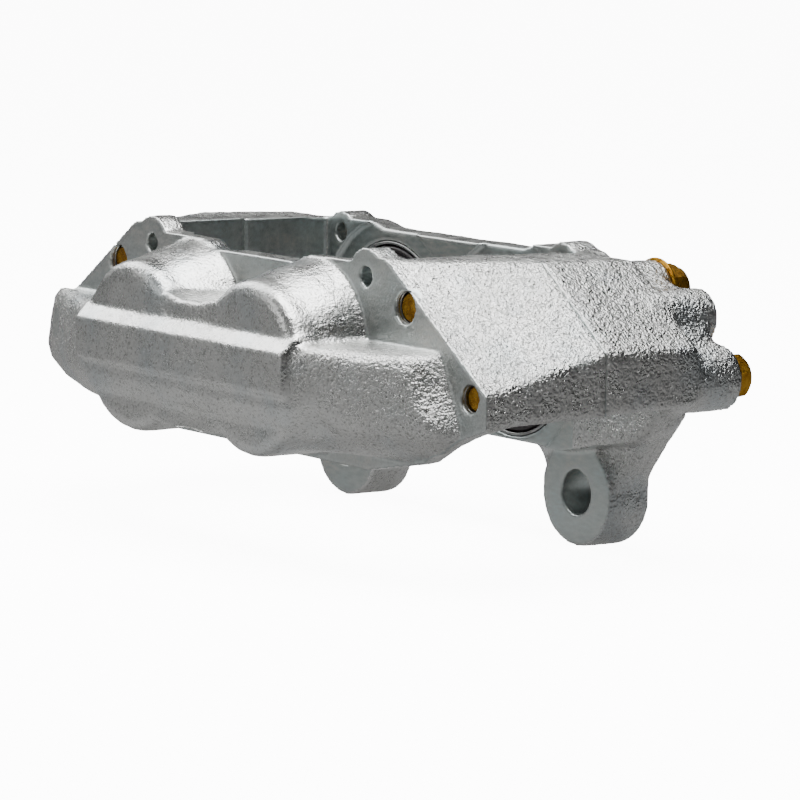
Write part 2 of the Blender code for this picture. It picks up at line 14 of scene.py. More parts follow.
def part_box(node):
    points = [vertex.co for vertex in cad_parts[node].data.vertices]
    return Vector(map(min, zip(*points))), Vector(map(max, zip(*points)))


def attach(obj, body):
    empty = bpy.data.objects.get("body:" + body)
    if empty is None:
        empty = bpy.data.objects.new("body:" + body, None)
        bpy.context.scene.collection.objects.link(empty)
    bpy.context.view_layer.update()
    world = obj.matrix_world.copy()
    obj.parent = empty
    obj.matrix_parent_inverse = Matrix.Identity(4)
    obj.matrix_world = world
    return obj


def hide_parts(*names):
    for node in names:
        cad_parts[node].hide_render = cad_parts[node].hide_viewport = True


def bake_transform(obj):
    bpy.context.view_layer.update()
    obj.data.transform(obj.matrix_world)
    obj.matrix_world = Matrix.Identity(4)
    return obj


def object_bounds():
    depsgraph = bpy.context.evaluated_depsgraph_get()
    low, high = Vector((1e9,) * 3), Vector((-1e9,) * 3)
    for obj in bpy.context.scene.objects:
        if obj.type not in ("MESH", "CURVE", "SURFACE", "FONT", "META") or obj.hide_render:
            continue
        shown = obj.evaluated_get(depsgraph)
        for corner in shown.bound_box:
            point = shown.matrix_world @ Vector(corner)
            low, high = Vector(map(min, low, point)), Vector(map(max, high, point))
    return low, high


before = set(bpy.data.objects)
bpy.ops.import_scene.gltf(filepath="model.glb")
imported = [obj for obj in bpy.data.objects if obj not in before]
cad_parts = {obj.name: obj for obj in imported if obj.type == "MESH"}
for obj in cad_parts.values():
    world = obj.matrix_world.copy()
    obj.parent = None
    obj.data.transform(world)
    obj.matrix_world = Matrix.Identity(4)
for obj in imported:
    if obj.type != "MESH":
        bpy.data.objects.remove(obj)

CAD_BOX = [list(map(float, corner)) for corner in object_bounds()]
ROOT = "caliper_body"
MM = 0.001
SIDES = (("left", -1), ("right", 1))
HALVES = (("outboard", -1), ("inboard", 1))

# Places read from the frame
SPLIT_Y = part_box("inboard_half")[0][1]

# Machined features of the castings, in metres. Y runs from the joint face
GAP_HALF_Y = 33.6 * MM
WINDOW_HALF_X = 65.75 * MM
WINDOW_MARGIN = 4.0 * MM
PAD_RECESS_R, PAD_RECESS_Y = 35.2 * MM, 35.4 * MM
BOOT_SEAT_END_Y = 39.4 * MM
CYLINDER_ZONE_R, CYLINDER_ZONE_Y = 25.2 * MM, 58.5 * MM     # wall, seal groove and blind end
DISC_CENTRE_Z = -68.4 * MM
DISC_SLOT_R = 160.5 * MM
FLANGE_FACE_Y = -41.4 * MM
FLANGE_ZONE_Y = -40.5 * MM
PIN_X, PIN_Z, PIN_HOLE_R = 58.4 * MM, 89.1 * MM, 3.1 * MM
LUG_X, LUG_Z, LUG_R, LUG_HOLE_R = 61.5 * MM, 17.2 * MM, 17.2 * MM, 7.15 * MM
LUG_FACES_Y = (38.9 * MM, 54.9 * MM)
LUG_RIM = 0.7 * MM                  # cast rim round a lug's machined face
BOSS_FACE_Y = 55.0 * MM
UPPER_FACE_R, LOWER_FACE_R, PLUG_FACE_R = 9.4 * MM, 10.2 * MM, 8.8 * MM
PLUG_ZONE_R, PLUG_START_Y = 4.9 * MM, 40 * MM
PORT_X, PORT_Z, PORT_HOLE_R = 0.0, 50.0 * MM, 4.6 * MM
PORT_START_Y, PORT_FACE_Y, PORT_FACE_R = 50 * MM, 64.0 * MM, 9.0 * MM
HOLE_MARGIN = 0.8 * MM              # how far past a hole's wall its mesh is still held
FACE_BAND = 0.35 * MM               # how near a vertex lies to a machined face to count as on it

# Bolts: shank radius, hexagon radius, hexagon height, and degrees that the head is turned
UPPER_BOLT = (4.8 * MM, 8.1 * MM, 7.0 * MM, 4.0)
LOWER_BOLT = (4.0 * MM, 7.4 * MM, 5.4 * MM, -14.5)
BOLT_HOLE_MARGIN = 1.1 * MM         # from the shank to the edge of the held mesh
BOLT_FLANGE_H = 1.8 * MM
THREAD_PITCH = 1.1 * MM

# Cast surface
VOXEL = 0.75 * MM
FILLET_PASSES = 20
FILLET_RATE = 0.55
RIB_BACK_Y, RIB_END_X, RIB_TOP_Z = -65.5 * MM, 62 * MM, 74 * MM
RIB_STIFFNESS = 0.86
LUG_STIFFNESS = 0.62
ROUGH_START_X, ROUGH_SPAN_X = 52.0 * MM, 34.0 * MM
SWELL_LENGTH, SWELL_HEIGHT = 12.0 * MM, 0.22 * MM
GRAIN_LENGTH = 2.1 * MM
GRAIN_HEIGHT, GRAIN_COARSE_HEIGHT = 0.06, 0.12      # mm, and mm more where the sand is coarse
JOINT_GROOVE, JOINT_REACH = 0.35 * MM, 0.9 * MM     # how far the joint's edges fall back, and over what width
FLANGE_SMOOTHNESS = 0.72            # the flange is less smooth than the other machined faces

# Shallow dents on the outboard half, in mm from the joint face: centre, reach along X, Y and Z, depth
DENT_LIMIT_Y = -42.0 * MM
DENTS = (
    ((65.0, -66.0, 44.0), (7.0, 14.0, 7.5), 2.6),       # pocket under the right wing
    ((84.0, -60.0, 71.0), (11.0, 12.0, 2.6), 1.3),      # step below the upper bolt
    ((98.0, -47.0, 57.0), (4.0, 6.0, 8.0), 1.0),        # hollow beside the lower bolt
    ((0.0, -70.0, 39.0), (9.0, 14.0, 7.0), 1.6),        # hollow between the cylinders
)

# Camera: where it stands, and how it is turned
CAMERA_AZIMUTH = math.radians(53.302)
CAMERA_ELEVATION = math.radians(7.728)
CAMERA_ROLL = math.radians(0.802)
CAMERA_PLACE = Vector((1.1285, -0.8285, 0.2318))
LENS = 199.5

# Brightness of what the camera sees behind and under the part
BACKDROP = 12.0
FLOOR_LIFT = 11.2


def centre_of(node):
    low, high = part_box(node)
    return [(a + b) / 2 for a, b in zip(low, high)]


def across(node):
    """Half the node's size along X: the radius of a turned piece."""
    low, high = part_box(node)
    return (high[0] - low[0]) / 2


# --- Materials ------------------------------------------------------------------

class Nodes:
    """A small helper that adds and links shader nodes."""

    def __init__(self, name):
        self.material = bpy.data.materials.new(name)
        self.material.use_nodes = True
        self.tree = self.material.node_tree
        self.shader = self.tree.nodes["Principled BSDF"]
        self.place = self.add("ShaderNodeTexCoord").outputs["Object"]

    def add(self, kind, **values):
        node = self.tree.nodes.new(kind)
        for key, value in values.items():
            setattr(node, key, value)
        return node

    def link(self, output, target):
        self.tree.links.new(output, target)

    def noise(self, scale, detail=3.0, roughness=0.55, distortion=0.0, place=None):
        node = self.add("ShaderNodeTexNoise")
        node.inputs["Scale"].default_value = scale
        node.inputs["Detail"].default_value = detail
        node.inputs["Roughness"].default_value = roughness
        node.inputs["Distortion"].default_value = distortion
        self.link(place or self.place, node.inputs["Vector"])
        return node.outputs["Fac"]

    def ramp(self, value, stops):
        node = self.add("ShaderNodeValToRGB")
        elements = node.color_ramp.elements
        while len(elements) < len(stops):
            elements.new(0.5)
        for element, (position, colour) in zip(elements, stops):
            element.position = position
            element.color = (*colour, 1.0)
        self.link(value, node.inputs["Fac"])
        return node.outputs["Color"]

    def remap(self, value, low, high, start=0.3, end=0.7):
        """Maps start..end onto low..high; noise mostly lies within 0.3..0.7."""
        node = self.add("ShaderNodeMapRange")
        limits = {"From Min": start, "From Max": end, "To Min": low, "To Max": high}
        for key, number in limits.items():
            node.inputs[key].default_value = number
        self.link(value, node.inputs["Value"])
        return node.outputs["Result"]

    def math(self, operation, first, second):
        node = self.add("ShaderNodeMath", operation=operation)
        for socket, value in zip(node.inputs, (first, second)):
            if isinstance(value, (int, float)):
                socket.default_value = value
            else:
                self.link(value, socket)
        return node.outputs["Value"]

    def mix(self, factor, first, second):
        node = self.add("ShaderNodeMix", data_type="RGBA")
        self.link(factor, node.inputs["Factor"])
        for socket, value in ((node.inputs[6], first), (node.inputs[7], second)):
            if isinstance(value, tuple):
                socket.default_value = (*value, 1.0)
            else:
                self.link(value, socket)
        return node.outputs[2]

    def stretched(self, scale):
        """The object's own coordinates, scaled along each axis."""
        node = self.add("ShaderNodeMapping")
        node.inputs["Scale"].default_value = scale
        self.link(self.place, node.inputs["Vector"])
        return node.outputs["Vector"]

    def bump(self, height, strength, distance, normal=None):
        node = self.add("ShaderNodeBump")
        node.inputs["Distance"].default_value = distance
        if isinstance(strength, (int, float)):
            node.inputs["Strength"].default_value = strength
        else:
            self.link(strength, node.inputs["Strength"])
        self.link(height, node.inputs["Height"])
        if normal:
            self.link(normal, node.inputs["Normal"])
        return node.outputs["Normal"]

    def finish(self, colour, roughness, normal, metallic):
        for output, name in ((colour, "Base Color"), (roughness, "Roughness"), (normal, "Normal")):
            self.link(output, self.shader.inputs[name])
        self.shader.inputs["Metallic"].default_value = metallic
        return self.material


def zinc_casting():
    """Bright zinc plate: sand-cast grain, with smoother and darker machined faces.

    The casting's mesh says where it is machined, and how coarse the sand was.
    """
    kit = Nodes("zinc_casting")
    machined = kit.add("ShaderNodeAttribute", attribute_name="machined").outputs["Fac"]
    coarse = kit.add("ShaderNodeAttribute", attribute_name="coarse").outputs["Fac"]

    tint = kit.ramp(kit.noise(38.0, 4.0), [
        (0.30, (0.60, 0.64, 0.65)), (0.47, (0.70, 0.705, 0.69)), (0.62, (0.72, 0.72, 0.70)),
        (0.80, (0.62, 0.65, 0.66)),
    ])
    grain = kit.noise(1150.0, 2.5, 0.5)
    pits = kit.noise(520.0, 3.0, 0.55, 0.3)
    shade_in_pits = kit.remap(grain, 0.0, 1.0, 0.30, 0.47)
    cast_colour = kit.mix(shade_in_pits, (0.44, 0.445, 0.43), tint)
    tool_marks = kit.noise(620.0, 3.0, 0.6, 0.0, kit.stretched((0.45, 1.0, 1.2)))
    film = kit.noise(55.0, 2.0)
    cut_light = kit.mix(kit.remap(film, 0.0, 1.0, 0.35, 0.65), (0.56, 0.63, 0.63), (0.63, 0.63, 0.60))
    cut_colour = kit.mix(kit.remap(tool_marks, 0.0, 1.0), (0.49, 0.53, 0.52), cut_light)
    colour = kit.mix(machined, cast_colour, cut_colour)

    cast_roughness = kit.remap(kit.noise(160.0, 3.0), 0.22, 0.36)
    cut_roughness = kit.remap(tool_marks, 0.34, 0.46)
    difference = kit.math("SUBTRACT", cut_roughness, cast_roughness)
    roughness = kit.math("ADD", cast_roughness, kit.math("MULTIPLY", difference, machined))

    cast_share = kit.math("SUBTRACT", 1.0, machined)
    strength = kit.math("MULTIPLY", cast_share, kit.remap(coarse, 0.22, 0.95, 0.15, 0.9))
    relief = kit.bump(pits, strength, 0.55 * MM)
    relief = kit.bump(grain, strength, 0.8 * MM, relief)
    relief = kit.bump(tool_marks, kit.math("MULTIPLY", machined, 0.2), 0.08 * MM, relief)
    return kit.finish(colour, roughness, relief, 1.0)


def plated_metal(name, dark, light, low_rough, high_rough, grain_scale, stretch=(1.0, 1.0, 1.0)):
    """A plated or machined steel with spots and a fine grain."""
    kit = Nodes(name)
    fine = kit.noise(grain_scale, 4.0, 0.6, 0.0, kit.stretched(stretch))
    spots = kit.noise(260.0, 3.0)
    colour = kit.mix(kit.remap(spots, 0.0, 1.0, 0.35, 0.62), dark, light)
    roughness = kit.remap(fine, low_rough, high_rough)
    relief = kit.bump(fine, 0.25, 0.06 * MM)
    return kit.finish(colour, roughness, relief, 0.95)


def moulded_rubber():
    """Black rubber with a faint bloom."""
    kit = Nodes("moulded_rubber")
    bloom = kit.noise(180.0, 3.0)
    colour = kit.ramp(bloom, [(0.35, (0.016, 0.014, 0.014)), (0.65, (0.036, 0.031, 0.033))])
    fine = kit.noise(1500.0, 2.0)
    relief = kit.bump(fine, 0.3, 0.05 * MM)
    material = kit.finish(colour, kit.remap(bloom, 0.34, 0.5), relief, 0.0)
    kit.shader.inputs["Specular IOR Level"].default_value = 0.45
    return material


MATERIALS = {
    "zinc": zinc_casting(),
    "gold": plated_metal("yellow_zinc", (0.34, 0.15, 0.012), (0.62, 0.33, 0.035), 0.22, 0.40, 900.0),
    "chrome": plated_metal("plated_piston", (0.52, 0.52, 0.51), (0.66, 0.66, 0.65), 0.16, 0.30, 700.0,
                           (1.0, 4.0, 1.0)),
    "steel": plated_metal("plain_steel", (0.30, 0.31, 0.31), (0.46, 0.47, 0.46), 0.26, 0.42, 800.0),
    "rubber": moulded_rubber(),
}


# --- Mesh helpers -----------------------------------------------------------------

def new_piece(name, mesh, material, body, slot_name, *nodes):
    """Adds a piece that rides on a body, if one is given, and stands for CAD nodes."""
    mesh.materials.clear()
    mesh.materials.append(MATERIALS[material])
    piece = bpy.data.objects.new(name, mesh)
    bpy.context.scene.collection.objects.link(piece)
    if body:
        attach(piece, body)
    if nodes:
        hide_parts(*nodes)
    return piece


def shade(mesh, angle=38.0):
    """Smooth shading, with edges sharper than the angle in degrees kept crisp."""
    mesh.shade_smooth()
    mesh.set_sharp_from_angle(angle=math.radians(angle))


def lathe(name, profile, centre, closed, segments=96):
    """Turns (radius, y) points, in metres, about an axis along Y through centre (x, z).

    A closed profile makes a ring. An open one gets a flat face at each end.
    """
    shape = bmesh.new()
    rings = []
    for radius, y in profile:
        ring = []
        for step in range(segments):
            angle = math.tau * step / segments
            place = (centre[0] + radius * math.cos(angle), y, centre[1] + radius * math.sin(angle))
            ring.append(shape.verts.new(place))
        rings.append(ring)
    pairs = list(zip(rings, rings[1:] + rings[:1])) if closed else list(zip(rings, rings[1:]))
    for low, high in pairs:
        for step in range(segments):
            following = (step + 1) % segments
            shape.faces.new((low[step], low[following], high[following], high[step]))
    if not closed:
        shape.faces.new(rings[0])
        shape.faces.new(rings[-1])
    return closed_mesh(name, shape)


def closed_mesh(name, shape):
    bmesh.ops.recalc_face_normals(shape, faces=shape.faces)
    mesh = bpy.data.meshes.new(name)
    shape.to_mesh(mesh)
    shape.free()
    return mesh


def rounded(points, radius, steps=4, closed=True):
    """Replaces each corner of a profile with a short curve."""
    result = []
    count = len(points)
    for index, point in enumerate(points):
        if not closed and index in (0, count - 1):
            result.append(point)
            continue
        here = Vector(point)
        before = Vector(points[index - 1]) - here
        after = Vector(points[(index + 1) % count]) - here
        reach = min(radius, before.length * 0.45, after.length * 0.45)
        start = here + before.normalized() * reach
        end = here + after.normalized() * reach
        for step in range(steps + 1):
            share = step / steps
            place = start * (1 - share) ** 2 + here * 2 * share * (1 - share) + end * share ** 2
            result.append((place.x, place.y))
    return result


# --- Castings -----------------------------------------------------------------------

def remeshed(node):
    """A fine even mesh of a CAD solid, from a voxel remesh."""
    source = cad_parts[node]
    mesh = source.data.copy()
    mesh.transform(source.matrix_world)
    shape = bmesh.new()
    shape.from_mesh(mesh)
    bmesh.ops.remove_doubles(shape, verts=shape.verts, dist=0.001 * MM)
    shape.to_mesh(mesh)
    shape.free()
    blank = bpy.data.objects.new(node + "_blank", mesh)
    bpy.context.scene.collection.objects.link(blank)
    remesh = blank.modifiers.new("even", "REMESH")
    remesh.mode = "VOXEL"
    remesh.voxel_size = VOXEL
    graph = bpy.context.evaluated_depsgraph_get()
    result = bpy.data.meshes.new_from_object(blank.evaluated_get(graph))
    bpy.data.objects.remove(blank, do_unlink=True)
    return result


def read_points(mesh):
    points = np.empty(len(mesh.vertices) * 3)
    mesh.vertices.foreach_get("co", points)
    return points.reshape(-1, 3)


def radial(points, x, z):
    """Distance of each point from an axis along Y; both sides of the part count."""
    return np.hypot(np.abs(points[:, 0]) - x, points[:, 2] - z)


def machined_share(points):
    """1 on machined faces and in bores, 0 on the cast surface."""
    x = np.abs(points[:, 0])
    y = points[:, 1] - SPLIT_Y
    depth = np.abs(y)

    def near(value, target):
        return np.abs(value - target) < FACE_BAND

    def from_axis_of(node):
        middle = centre_of(node)
        return radial(points, middle[0], middle[2])

    from_piston = from_axis_of("piston_inboard_right")
    from_upper = from_axis_of("bolt_upper_right")
    from_lower = from_axis_of("bolt_lower_right")
    from_plug = from_axis_of("passage_plug_right")
    from_lug = radial(points, LUG_X, LUG_Z)
    from_pin = radial(points, PIN_X, PIN_Z)
    from_port = radial(points, PORT_X, PORT_Z)
    from_disc = np.hypot(points[:, 0], points[:, 2] - DISC_CENTRE_Z)
    boot_seat_r = across("boot_inboard_right") + 2 * HOLE_MARGIN

    # Joint face, pad window and cylinders
    in_window = (x < WINDOW_HALF_X + WINDOW_MARGIN) & (depth > GAP_HALF_Y - FACE_BAND)
    on_face = near(y, 0.0)
    on_face |= near(depth, GAP_HALF_Y) & (x < WINDOW_HALF_X + FACE_BAND)
    on_face |= near(x, WINDOW_HALF_X) & (depth < GAP_HALF_Y + FACE_BAND)
    on_face |= in_window & (from_piston < PAD_RECESS_R + HOLE_MARGIN) & (depth < PAD_RECESS_Y + FACE_BAND)
    on_face |= in_window & (from_piston < boot_seat_r) & (depth < BOOT_SEAT_END_Y)
    on_face |= (from_piston < CYLINDER_ZONE_R) & (depth < CYLINDER_ZONE_Y)
    on_face |= near(from_disc, DISC_SLOT_R) & (depth < GAP_HALF_Y)

    # Lugs, pin holes, bolt holes and the outboard flange
    on_lug_face = near(y, LUG_FACES_Y[0]) | near(y, LUG_FACES_Y[1])
    on_face |= from_lug < LUG_HOLE_R + HOLE_MARGIN
    on_face |= (from_lug < LUG_R - LUG_RIM) & on_lug_face
    on_face |= from_pin < PIN_HOLE_R + HOLE_MARGIN
    on_face |= from_upper < UPPER_BOLT[0] + BOLT_HOLE_MARGIN
    on_face |= from_lower < LOWER_BOLT[0] + BOLT_HOLE_MARGIN
    on_face |= near(y, FLANGE_FACE_Y)

    # Back of the inboard half: boss faces, plugs and the hose port
    on_boss = (from_upper < UPPER_FACE_R) | (from_lower < LOWER_FACE_R) | (from_plug < PLUG_FACE_R)
    on_face |= near(y, BOSS_FACE_Y) & on_boss
    on_face |= (from_plug < PLUG_ZONE_R) & (y > PLUG_START_Y)
    on_face |= (from_port < PORT_HOLE_R + HOLE_MARGIN) & (y > PORT_START_Y)
    on_face |= near(y, PORT_FACE_Y) & (from_port < PORT_FACE_R)
    return on_face.astype(float)


def neighbour_mean(values, edges, counts):
    """Mean of each vertex's neighbours, for one column of values."""
    total = np.bincount(edges[:, 0], weights=values[edges[:, 1]], minlength=len(values))
    total += np.bincount(edges[:, 1], weights=values[edges[:, 0]], minlength=len(values))
    return total / counts


def stiffness(points):
    """Where the casting keeps crisper edges: on the fluid rib, and less so round the lugs."""
    x = np.abs(points[:, 0])
    y = points[:, 1] - SPLIT_Y
    on_rib = (y < RIB_BACK_Y) & (x < RIB_END_X) & (points[:, 2] < RIB_TOP_Z)
    on_lug = radial(points, LUG_X, LUG_Z) < LUG_R + 1.0 * MM
    return RIB_STIFFNESS * on_rib + LUG_STIFFNESS * (on_lug & ~on_rib)


def sculpted(points, normals):
    """Presses the dents into the outboard half."""
    outboard = points[:, 1] < SPLIT_Y + DENT_LIMIT_Y
    depth = np.zeros(len(points))
    for centre, reach, amount in DENTS:
        middle = np.array(centre) * MM + (0.0, SPLIT_Y, 0.0)
        offset = (points - middle) / (np.array(reach) * MM)
        depth += amount * MM * np.exp(-np.sum(offset ** 2, axis=1))
    return points - normals * (depth * outboard)[:, None]


def softened(points, edges, counts, hold):
    """Rounds the cast edges and fillets, and leaves held points where they are."""
    move = (1.0 - np.maximum(hold, stiffness(points)))[:, None] * FILLET_RATE
    for _ in range(FILLET_PASSES):
        mean = np.column_stack([neighbour_mean(points[:, axis], edges, counts) for axis in range(3)])
        points = points + move * (mean - points)
    return points


def lumps(points, wavelength, seed):
    """Smooth noise at each point; each seed shifts it somewhere else."""
    offset = Vector((seed * 7.3, seed * 3.1, seed * 5.7))
    scale = 1.0 / wavelength
    return np.array([noise.noise(Vector(point) * scale + offset) for point in points])


def coarse_share(points):
    """How rough the sand left each place: coarser at the ends, finer over the cylinders."""
    ends = np.clip((np.abs(points[:, 0]) - ROUGH_START_X) / ROUGH_SPAN_X, 0.0, 1.0)
    patches = lumps(points, 26.0 * MM, 4)
    return np.clip(0.25 + 0.65 * ends + 0.25 * patches, 0.0, 1.0)


def joint_edge(points, normals):
    """Draws the castings' edges back beside the joint face, so that the joint shows as a line."""
    closeness = np.clip(1.0 - np.abs(points[:, 1] - SPLIT_Y) / JOINT_REACH, 0.0, 1.0)
    beside_joint = np.abs(normals[:, 1:2]) < 0.93
    sideways = normals * (1.0, 0.0, 1.0) * beside_joint
    return points - sideways * (JOINT_GROOVE * closeness)[:, None]


def mesh_edges(mesh):
    edges = np.empty(len(mesh.edges) * 2, dtype=int)
    mesh.edges.foreach_get("vertices", edges)
    return edges.reshape(-1, 2)


def mesh_normals(mesh):
    normals = np.empty(len(mesh.vertices) * 3)
    mesh.vertex_normals.foreach_get("vector", normals)
    return normals.reshape(-1, 3)


def casting(node):
    mesh = remeshed(node)
    points = read_points(mesh)
    edges = mesh_edges(mesh)
    counts = np.maximum(np.bincount(edges.ravel(), minlength=len(points)), 1)
    hold = machined_share(points)
    points = softened(points, edges, counts, hold)
    mesh.vertices.foreach_set("co", points.ravel())
    mesh.update()
    normals = mesh_normals(mesh)

    free = (1.0 - hold)[:, None]
    points = points + (sculpted(points, normals) - points) * free
    coarse = coarse_share(points)
    height = SWELL_HEIGHT * lumps(points, SWELL_LENGTH, 1)
    height += (GRAIN_HEIGHT + GRAIN_COARSE_HEIGHT * coarse) * MM * lumps(points, GRAIN_LENGTH, 2)
    points = points + normals * (height * (1.0 - hold))[:, None]
    points = joint_edge(points, normals)
    mesh.vertices.foreach_set("co", points.ravel())

    on_flange = points[:, 1] < SPLIT_Y + FLANGE_ZONE_Y
    smoothness = np.where(on_flange, FLANGE_SMOOTHNESS * hold, hold)
    for name, values in (("machined", smoothness), ("coarse", coarse)):
        attribute = mesh.attributes.new(name, "FLOAT", "POINT")
        attribute.data.foreach_set("value", values.astype(np.float32))
    mesh.shade_smooth()
    mesh.update()
    return new_piece(node + "_casting", mesh, "zinc", ROOT, "zinc_cast", node)


# --- Bolts and threads --------------------------------------------------------------

def hexagon(name, centre, radius, y_start, y_end, turn, chamfer):
    """A hexagon with the turned chamfer that rounds its far corners."""
    segments = 72
    levels = 7
    chamfer_start = 0.72
    shape = bmesh.new()
    rings = []
    for level in range(levels + 1):
        share = level / levels
        y = y_start + (y_end - y_start) * share
        ring = []
        limit = radius - chamfer * max(0.0, (share - chamfer_start) / (1.0 - chamfer_start)) ** 1.3
        for step in range(segments):
            angle = math.tau * step / segments
            sector = (angle + math.pi / 6) % (math.pi / 3) - math.pi / 6
            flat = radius * math.cos(math.pi / 6) / math.cos(sector)
            reach = min(flat, limit)
            x = centre[0] + reach * math.cos(angle + turn)
            z = centre[1] + reach * math.sin(angle + turn)
            ring.append(shape.verts.new((x, y, z)))
        rings.append(ring)
    for low, high in zip(rings, rings[1:]):
        for step in range(segments):
            following = (step + 1) % segments
            shape.faces.new((low[step], low[following], high[following], high[step]))
    shape.faces.new(rings[0])
    shape.faces.new(rings[-1])
    mesh = closed_mesh(name, shape)
    shade(mesh, 28.0)
    return mesh


def thread_ridge(name, centre, radius, y_start, turns, height):
    """One helical ridge with a triangular section; height is negative for a tapped hole."""
    steps_per_turn = 40
    run_out = 8             # steps over which each end of the ridge fades away
    half_base = 0.44        # half the ridge's width, as a share of the pitch
    steps = int(turns * steps_per_turn)
    shape = bmesh.new()
    sections = []
    for step in range(steps + 1):
        angle = math.tau * step / steps_per_turn
        y = y_start + THREAD_PITCH * step / steps_per_turn
        taper = min(1.0, step / run_out, (steps - step) / run_out)
        crest = radius + height * max(taper, 0.02)
        corners = []
        for reach, along in ((radius, -half_base), (crest, 0.0), (radius, half_base)):
            x = centre[0] + reach * math.cos(angle)
            z = centre[1] + reach * math.sin(angle)
            corners.append(shape.verts.new((x, y + along * THREAD_PITCH, z)))
        sections.append(corners)
    for low, high in zip(sections, sections[1:]):
        for index in range(3):
            following = (index + 1) % 3
            shape.faces.new((low[index], low[following], high[following], high[index]))
    shape.faces.new(sections[0])
    shape.faces.new(sections[-1])
    mesh = closed_mesh(name, shape)
    shade(mesh, 30.0)
    return mesh


def bolt(node, sizes, side):
    shank_r, hex_r, hex_height, degrees = sizes
    low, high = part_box(node)
    centre = ((low[0] + high[0]) / 2, (low[2] + high[2]) / 2)
    seat = high[1] - BOLT_FLANGE_H - hex_height
    flange_r = (high[0] - low[0]) / 2
    end_chamfer = 0.9 * MM
    profile = [
        (shank_r - end_chamfer, low[1]), (shank_r, low[1] + end_chamfer), (shank_r, seat),
        (flange_r, seat), (flange_r, seat + 0.9 * MM), (hex_r - 1.9 * MM, seat + 2.1 * MM),
    ]
    mesh = lathe(node + "_shank", rounded(profile, 0.25 * MM, 3, closed=False), centre, closed=False)
    shade(mesh)
    new_piece(node + "_shank", mesh, "gold", ROOT, "bolt_gold", node)
    turn = math.radians(degrees) * side
    head = hexagon(node + "_head", centre, hex_r, seat + 1.2 * MM, high[1], turn, 1.25 * MM)
    new_piece(node + "_head", head, "gold", ROOT, "bolt_gold")


def tapped_mouth(name, node, hole_r, start, turns):
    """The last threads of a tapped hole, seen around the recessed end of its bolt."""
    middle = centre_of(node)
    centre = (middle[0], middle[2])
    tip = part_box(node)[0][1]
    mesh = thread_ridge(name, centre, hole_r + 0.15 * MM, tip - start, turns, -0.42 * MM)
    new_piece(name, mesh, "steel", ROOT, "zinc_cast")


def bolts():
    for label, side in SIDES:
        upper = f"bolt_upper_{label}"
        bolt(upper, UPPER_BOLT, side)
        bolt(f"bolt_lower_{label}", LOWER_BOLT, side)
        tapped_mouth(f"tapped_mouth_upper_{label}", upper, 5.1 * MM, 1.4 * MM, 2)
    tapped_mouth("tapped_mouth_lower_right", "bolt_lower_right", 4.3 * MM, 1.0 * MM, 1.5)


# --- Hydraulics -----------------------------------------------------------------------

def piston_cup(place, sign, centre):
    low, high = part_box(f"piston_{place}")
    radius = across(f"piston_{place}")
    front = low[1] if sign > 0 else high[1]
    length = high[1] - low[1]

    def along(depth):
        """Y of a place that is depth metres behind the piston's face."""
        return front + sign * depth

    profile = [
        (15.2 * MM, along(length - 5 * MM)), (16.2 * MM, along(2.4 * MM)), (17.6 * MM, along(0.0)),
        (radius - 0.4 * MM, along(0.0)), (radius, along(0.8 * MM)), (radius, along(length - 1.2 * MM)),
        (radius - 1.2 * MM, along(length)),
    ]
    name = f"piston_{place}_cup"
    mesh = lathe(name, rounded(profile, 0.5 * MM, 3, closed=False), centre, closed=False)
    shade(mesh)
    new_piece(name, mesh, "chrome", f"piston_{place}", "piston_chrome", f"piston_{place}")


def boot(place, sign, centre):
    """A folded boot that stretches from its bead in the caliper to its lip on the piston."""
    face = SPLIT_Y + sign * GAP_HALF_Y
    lip = across(f"piston_{place}") + 0.32 * MM
    bead = across(f"boot_{place}")
    span = bead - lip

    def depth(millimetres):
        return face + sign * millimetres * MM

    outline = [
        (lip, depth(1.3)), (lip + 0.22 * span, depth(1.4)), (lip + 0.34 * span, depth(2.9)),
        (lip + 0.46 * span, depth(2.9)), (lip + 0.60 * span, depth(1.7)), (lip + 0.76 * span, depth(1.9)),
        (lip + 0.84 * span, depth(3.3)), (bead, depth(3.4)), (bead, depth(5.1)),
        (lip + 0.72 * span, depth(5.1)), (lip + 0.64 * span, depth(2.9)), (lip + 0.54 * span, depth(3.9)),
        (lip + 0.26 * span, depth(3.9)), (lip + 0.14 * span, depth(2.8)), (lip, depth(2.8)),
    ]
    mesh = lathe(f"boot_{place}_rubber", rounded(outline, 0.5 * MM, 4), centre, closed=True)
    shade(mesh, 60.0)
    piece = new_piece(f"boot_{place}_rubber", mesh, "rubber", None, "rubber", f"boot_{place}")
    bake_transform(piece)


def boot_ring(place, centre):
    low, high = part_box(f"boot_ring_{place}")
    outer = across(f"boot_ring_{place}")
    inner = outer - 0.95 * MM
    wire = [(inner, low[1]), (outer, low[1]), (outer, high[1]), (inner, high[1])]
    mesh = lathe(f"boot_ring_{place}_wire", rounded(wire, 0.4 * MM), centre, closed=True)
    shade(mesh, 60.0)
    new_piece(f"boot_ring_{place}_wire", mesh, "steel", ROOT, "plain_steel", f"boot_ring_{place}")


def piston_set(half, sign, label):
    place = f"{half}_{label}"
    middle = centre_of(f"piston_{place}")
    centre = (middle[0], middle[2])
    piston_cup(place, sign, centre)
    boot(place, sign, centre)
    boot_ring(place, centre)


